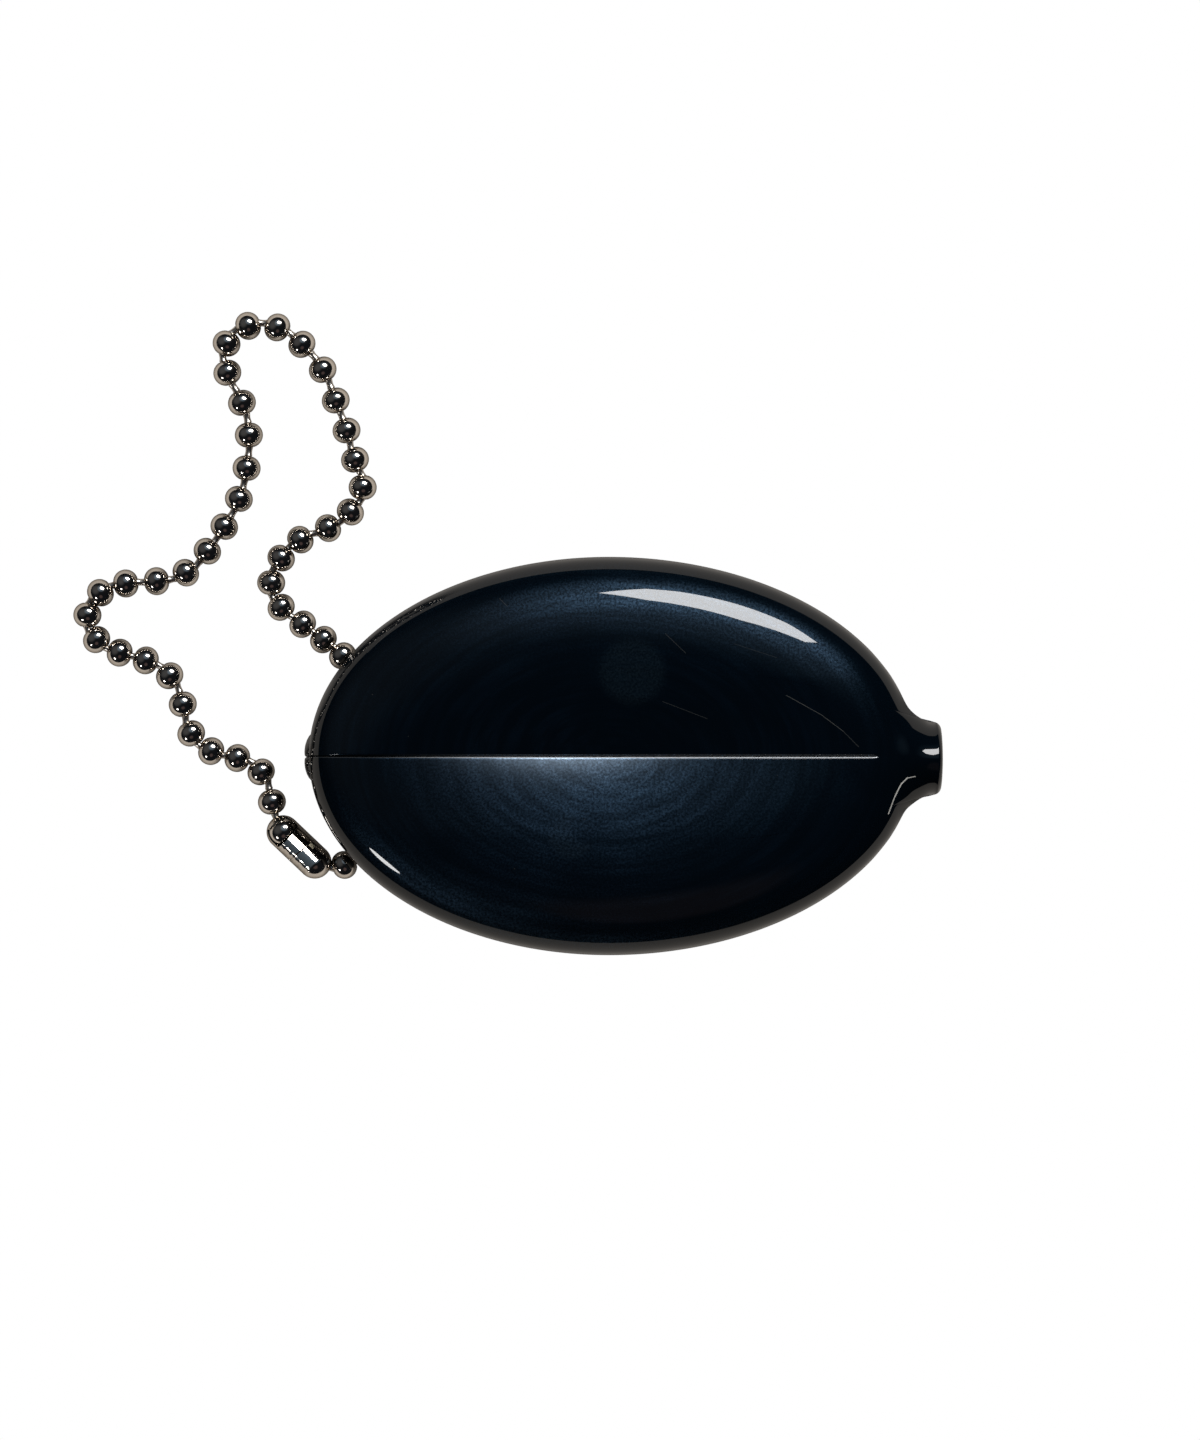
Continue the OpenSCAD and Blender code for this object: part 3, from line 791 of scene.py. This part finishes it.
rod_mesh = turned_mesh(rod_profile(SHOWN_ROD, 1), 32, rod_metal)
plain_rod_mesh = turned_mesh(rod_profile(PIN_R, 0), 32, rod_metal)
for body, pins in PINS_OF.items():
    for i in pins:
        start, end = pin_ends(i, axes)
        way = unit(end - start)
        slide = (head_room(way, axes[wrap_at(i + 1)]) - head_room(way, axes[i])) / 2
        o = link(bpy.data.objects.new(f"link_{i:02d}", rod_mesh if i < HIDDEN_FROM else plain_rod_mesh))
        o.matrix_world = frame_along((start + end) / 2 + slide * way, way)
        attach(o, body)
        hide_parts(PIN_NODE[body])

# ---------------------------------------------------------------- the connector
# A place on it is s, in mm from the first end bead along it, and an angle, 0 on top and positive towards the purse.
c1, c2 = (centres[i] for i in CLASP_BEADS)
conn_way = unit(c2 - c1)
conn_len = float(np.linalg.norm(c2 - c1))
flat = unit(np.array([-conn_way[1], conn_way[0], 0.0]))     # to the upper right in plan
above = np.cross(conn_way, flat)
above = above if above[2] > 0 else -above

SEAM_W, SEAM_DEPTH, SEAM_DEG = 0.05, 0.12, 62
SLOT_DEG, SLOT_W_DEG, SLOT_FROM, SLOT_END_GAP = -35, 3.5, 0.9, 0.2
WINDOW_FROM, WINDOW_TO, WINDOW_DEG, WINDOW_HALF_DEG = -1.62, 1.15, 4, 62
NOTCH_S, NOTCH_HALF, NOTCH_DEG, NOTCH_HALF_DEG = 3.95, 0.38, 40, 9
PANEL_DEG, PANEL_END_DEG = -8, 66       # the top panel; left of it the sheet is folded into the slot
TAB_HALF, TAB_HALF_DEG, TAB_LEAN = 0.4, 10, 0.45
ROW_S = np.concatenate([-CONN_R * np.cos(np.linspace(0.02, math.pi / 2, 46)),
                        np.linspace(0, conn_len, 116)[1:-1],
                        conn_len + CONN_R * np.sin(np.linspace(0, math.pi / 2 - 0.02, 46))])[:, None]
ANGLE = np.linspace(-math.pi, math.pi, 241)[None, :-1]
DEG = np.degrees(ANGLE) + 0 * ROW_S


def seam_at(deg):
    """Where the fold across the capsule runs, slightly aslant."""
    return 0.60 * conn_len + 0.0035 * deg


def outward(angle):
    """Unit vector that stands square on the capsule at this angle."""
    return np.cos(angle)[..., None] * above + np.sin(angle)[..., None] * flat


def capsule(radius, dents=0.0):
    """Grid of points on a capsule, with the seam and the slot pressed in by dents."""
    over = np.clip(np.where(ROW_S < 0, -ROW_S, np.maximum(0, ROW_S - conn_len)) / CONN_R, 0, 1)
    s = np.where(ROW_S < 0, -over * radius, np.where(ROW_S > conn_len, conn_len + over * radius, ROW_S)) + 0 * ANGLE
    r = np.sqrt(1 - over**2) * radius + 0 * ANGLE
    seam = np.exp(-((ROW_S - seam_at(DEG)) / SEAM_W) ** 2) * (np.abs(DEG) < SEAM_DEG)
    slot = (np.exp(-((DEG - SLOT_DEG) / SLOT_W_DEG) ** 2) * ramp(ROW_S, SLOT_FROM, SLOT_FROM + 0.15)
            * ramp(ROW_S, conn_len - SLOT_END_GAP, conn_len - SLOT_END_GAP - 0.15))
    return c1 + s[..., None] * conn_way + (r - dents * (seam + slot))[..., None] * outward(ANGLE)


def in_window(s, deg):
    """The cup's open top, through which the first end bead shows."""
    return (s > WINDOW_FROM) & (s < WINDOW_TO - 0.25 * (deg / 60) ** 2) & (np.abs(deg - WINDOW_DEG) < WINDOW_HALF_DEG)


def in_notch(s, deg):
    return (np.abs(s - NOTCH_S) < NOTCH_HALF) & (np.abs(deg - NOTCH_DEG) < NOTCH_HALF_DEG)


def facet_normals(n):
    """Facets of the folded sheet: the top panel faces the softbox, and a torn edge runs beside it."""
    torn = DEG + 1.6 * np.sin(5.3 * ROW_S) + 1.1 * np.sin(12.1 * ROW_S + 1)
    # angles on the capsule, then the angles that its normals lean to there
    left_side = np.interp(torn, (-90, -60, -40.5, -39, -34.5, -33, -29, -27.5, PANEL_DEG),
                          (-90, -66, -51, -12, -12, 22, 22, 5, 7))
    top_side = np.interp(DEG, (PANEL_DEG, -5.2, -3.8, 18, 20, PANEL_END_DEG), (7, 9, 20.5, 24, 34, PANEL_END_DEG))
    past_seam = np.interp(DEG, (PANEL_DEG, 2.2, 3.8, 19, 21, PANEL_END_DEG), (7, 10, 20.5, 24, 34, PANEL_END_DEG))
    right_side = np.where(ROW_S > 0.62 * conn_len, past_seam, top_side)
    lean = np.radians(np.where(DEG < PANEL_DEG, left_side, right_side))
    share = ((DEG > -90) * ramp(DEG, PANEL_END_DEG, PANEL_END_DEG - 6) * ramp(ROW_S, 0.8, 1.0)
             * ramp(ROW_S, conn_len + 0.5, conn_len + 0.1) * (np.abs(ROW_S - seam_at(DEG)) > 0.09))
    return n + (outward(lean) - 0.06 * conn_way - n) * share[..., None]


def hole_walls(holes):
    """Faces between the outer and the inner sheet, round the cells of the grid that are holes."""
    faces = []
    cols = ANGLE.size
    inside = ROW_S.size * cols      # from a point of the outer sheet to the same one of the inner sheet
    for i, j in zip(*np.nonzero(holes)):
        for di, dj, (i0, j0), (i1, j1) in ((-1, 0, (i, j), (i, j + 1)), (1, 0, (i + 1, j), (i + 1, j + 1)),
                                           (0, -1, (i, j), (i + 1, j)), (0, 1, (i, j + 1), (i + 1, j + 1))):
            if 0 <= i + di < len(holes) and not holes[i + di, (j + dj) % cols]:
                a, b = i0 * cols + j0 % cols, i1 * cols + j1 % cols
                faces.append((a, b, b + inside, a + inside))
    return np.array(faces)


sheet_out, sheet_in = capsule(CONN_R, dents=SEAM_DEPTH), capsule(CONN_R - SHEET)
sheet_n = normals_of(sheet_out, wrap=True)
inward = bool((sheet_n[60] * outward(ANGLE)[0]).sum() < 0)      # the grid's own normals point inwards
cell_s, cell_deg = (ROW_S[1:] + ROW_S[:-1]) / 2, np.degrees(ANGLE + (ANGLE[0, 1] - ANGLE[0, 0]) / 2)
holes = in_window(cell_s, cell_deg) | in_notch(cell_s, cell_deg)
clasp = Patches()
clasp.grid(sheet_out, facet_normals(-sheet_n if inward else sheet_n), wrap=True, flip=inward)
clasp.grid(sheet_in, wrap=True, flip=not inward)
clasp.faces = [f[~holes.reshape(-1)] for f in clasp.faces]
clasp.faces.append(hole_walls(holes))
connector = clasp.make("clasp", nickel)
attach(connector, "connector")
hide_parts("connector")

# a small brass tab shows in the notch
tab_s = np.linspace(NOTCH_S - TAB_HALF, NOTCH_S + TAB_HALF, 9)[:, None, None]
tab_angle = np.radians(np.linspace(NOTCH_DEG - TAB_HALF_DEG, NOTCH_DEG + TAB_HALF_DEG, 9))[None]
tab = c1 + tab_s * conn_way + (CONN_R - 0.06 - 0.1 * np.abs(tab_s - NOTCH_S)) * outward(tab_angle)
tab_n = outward(np.array(TAB_LEAN)) + 0 * tab
brass_tab = Patches().grid(tab, tab_n, flip=bool((normals_of(tab)[4, 4] * above).sum() < 0)).make("clasp_tab", brass)
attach(brass_tab, "connector")
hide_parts("connector")

# ---------------------------------------------------------------- the camera, straight above
SENSOR, PICTURE_H, PX_PER_MM, LENS_TO_PART = 36, 1440, 7.75, 700      # the scale holds 700 mm from the lens
cam_data = bpy.data.cameras.new("camera")
cam_data.sensor_fit = "VERTICAL"
cam_data.sensor_height = SENSOR
cam_data.lens = SENSOR * LENS_TO_PART / (PICTURE_H / PX_PER_MM)
cam_data.clip_start, cam_data.clip_end = 0.01, 20
cam = link(bpy.data.objects.new("camera", cam_data))
cam.location = Vector((-1.135, 4.645, LENS_TO_PART + MID_Z)) * MM
bpy.context.scene.camera = cam


# ---------------------------------------------------------------- the table, the lights and the room, in metres
TABLE_GREY, TABLE_HALF, TABLE_Z = (0.56, 0.52, 0.475, 1), 6, -0.0002
TO_SOFTBOX = (8, 5, 0)          # painted light: the reflected table is lighter this way, towards the softbox
ROOM_COLOUR = (0.006, 0.007, 0.009)
# Paler and bluer towards the top of the picture, with a faint warm patch towards the bottom:
# direction, the cosines to its axis at its edge and at its full strength, and colour
LOBES = [((0.15, 0.58, 0.80), 0.84, 1.0, (0.115, 0.165, 0.22)),
         ((-0.6, 0.35, 0.7), 0.70, 1.0, (0.055, 0.056, 0.058)),
         ((0.122, -0.575, 0.809), 0.955, 0.99, (0.062, 0.042, 0.040))]
SOFTBOX = [(0.065, 0.61), (-0.014, 0.475), (0.047, 0.375), (0.16, 0.325), (0.30, 0.365),
           (0.405, 0.475), (0.37, 0.59), (0.25, 0.63), (0.13, 0.635)]
SOFTBOX_Z = 0.5


def table_shader(g):
    """White to the camera. Reflected, the table is a warm grey with painted shade under and beside the object, from
    ambient occlusion, and painted light that grows towards the softbox.
    """
    near = g.add("AmbientOcclusion", {"Distance": 0.009}, "AO", samples=4)
    contact_shade = g.add("Gamma", {"Color": near, "Gamma": 2.6})
    shade = g.add("Mix", {0: 1.0, 6: TABLE_GREY, 7: contact_shade}, 2, data_type="RGBA", blend_type="MULTIPLY")
    slope = g.dot(g.add("NewGeometry", out="Position"), TO_SOFTBOX)
    grey = g.add("Emission", {"Color": shade, "Strength": g.span(slope, -0.6, 0.8, 0.9, 1.1)})
    return g.add("MixShader", {0: g.add("LightPath", out="Is Camera Ray"), 1: grey, 2: glow(g, 1.0)})


def flat_mesh(name, corners, mat):
    mesh = bpy.data.meshes.new(name)
    mesh.from_pydata(corners, [], [tuple(range(len(corners)))])
    mesh.materials.append(mat)
    o = link(bpy.data.objects.new(name, mesh))
    o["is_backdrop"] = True
    return o


def light(name, corners, strength):
    flat_mesh(name, corners, material(name, glow, strength=strength)).visible_camera = False


def spot_corners(polar, azimuth, distance, half_u, half_v):
    """Round light at polar degrees from the vertical over the purse, turned to face it; half sizes in degrees."""
    p, a = math.radians(polar), math.radians(azimuth)
    d = Vector((math.sin(p) * math.cos(a), math.sin(p) * math.sin(a), math.cos(p)))
    u = Vector((-math.sin(a), math.cos(a), 0))
    reach_u, reach_v = (math.tan(math.radians(half)) for half in (half_u, half_v))
    return [distance * (d + u * reach_u * math.cos(t) + d.cross(u) * reach_v * math.sin(t))
            for t in np.linspace(0, 2 * math.pi, 33)[:-1]]


def room_colour(g):
    """A dark room with its lobes."""
    total = ROOM_COLOUR
    for direction, edge, full, colour in LOBES:
        cosine = g.dot(g.add("TexCoord", out="Generated"), Vector(direction).normalized())
        total = g.vector("ADD", total, g.tinted(colour, g.span(cosine, edge, full)))
    return total


table = material("table", table_shader)
table.cycles.emission_sampling = "NONE"
flat_mesh("floor", [(x * TABLE_HALF, y * TABLE_HALF, TABLE_Z) for x, y in ((-1, -1), (1, -1), (1, 1), (-1, 1))], table)
light("softbox", [(x, y, SOFTBOX_Z) for x, y in SOFTBOX], strength=16.5)
light("spot_left", spot_corners(polar=63.5, azimuth=224.5, distance=0.6, half_u=4.7, half_v=3.0), strength=19.0)

world = bpy.data.worlds.new("world")
bpy.context.scene.world = world
world.use_nodes = True
background = next(n for n in world.node_tree.nodes if n.type == "BACKGROUND")
background.inputs["Strength"].default_value = 1.0
room = Graph(world.node_tree)
room.put(background.inputs["Color"], room_colour(room))

bpy.context.scene.view_settings.view_transform = "Standard"

low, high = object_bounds()
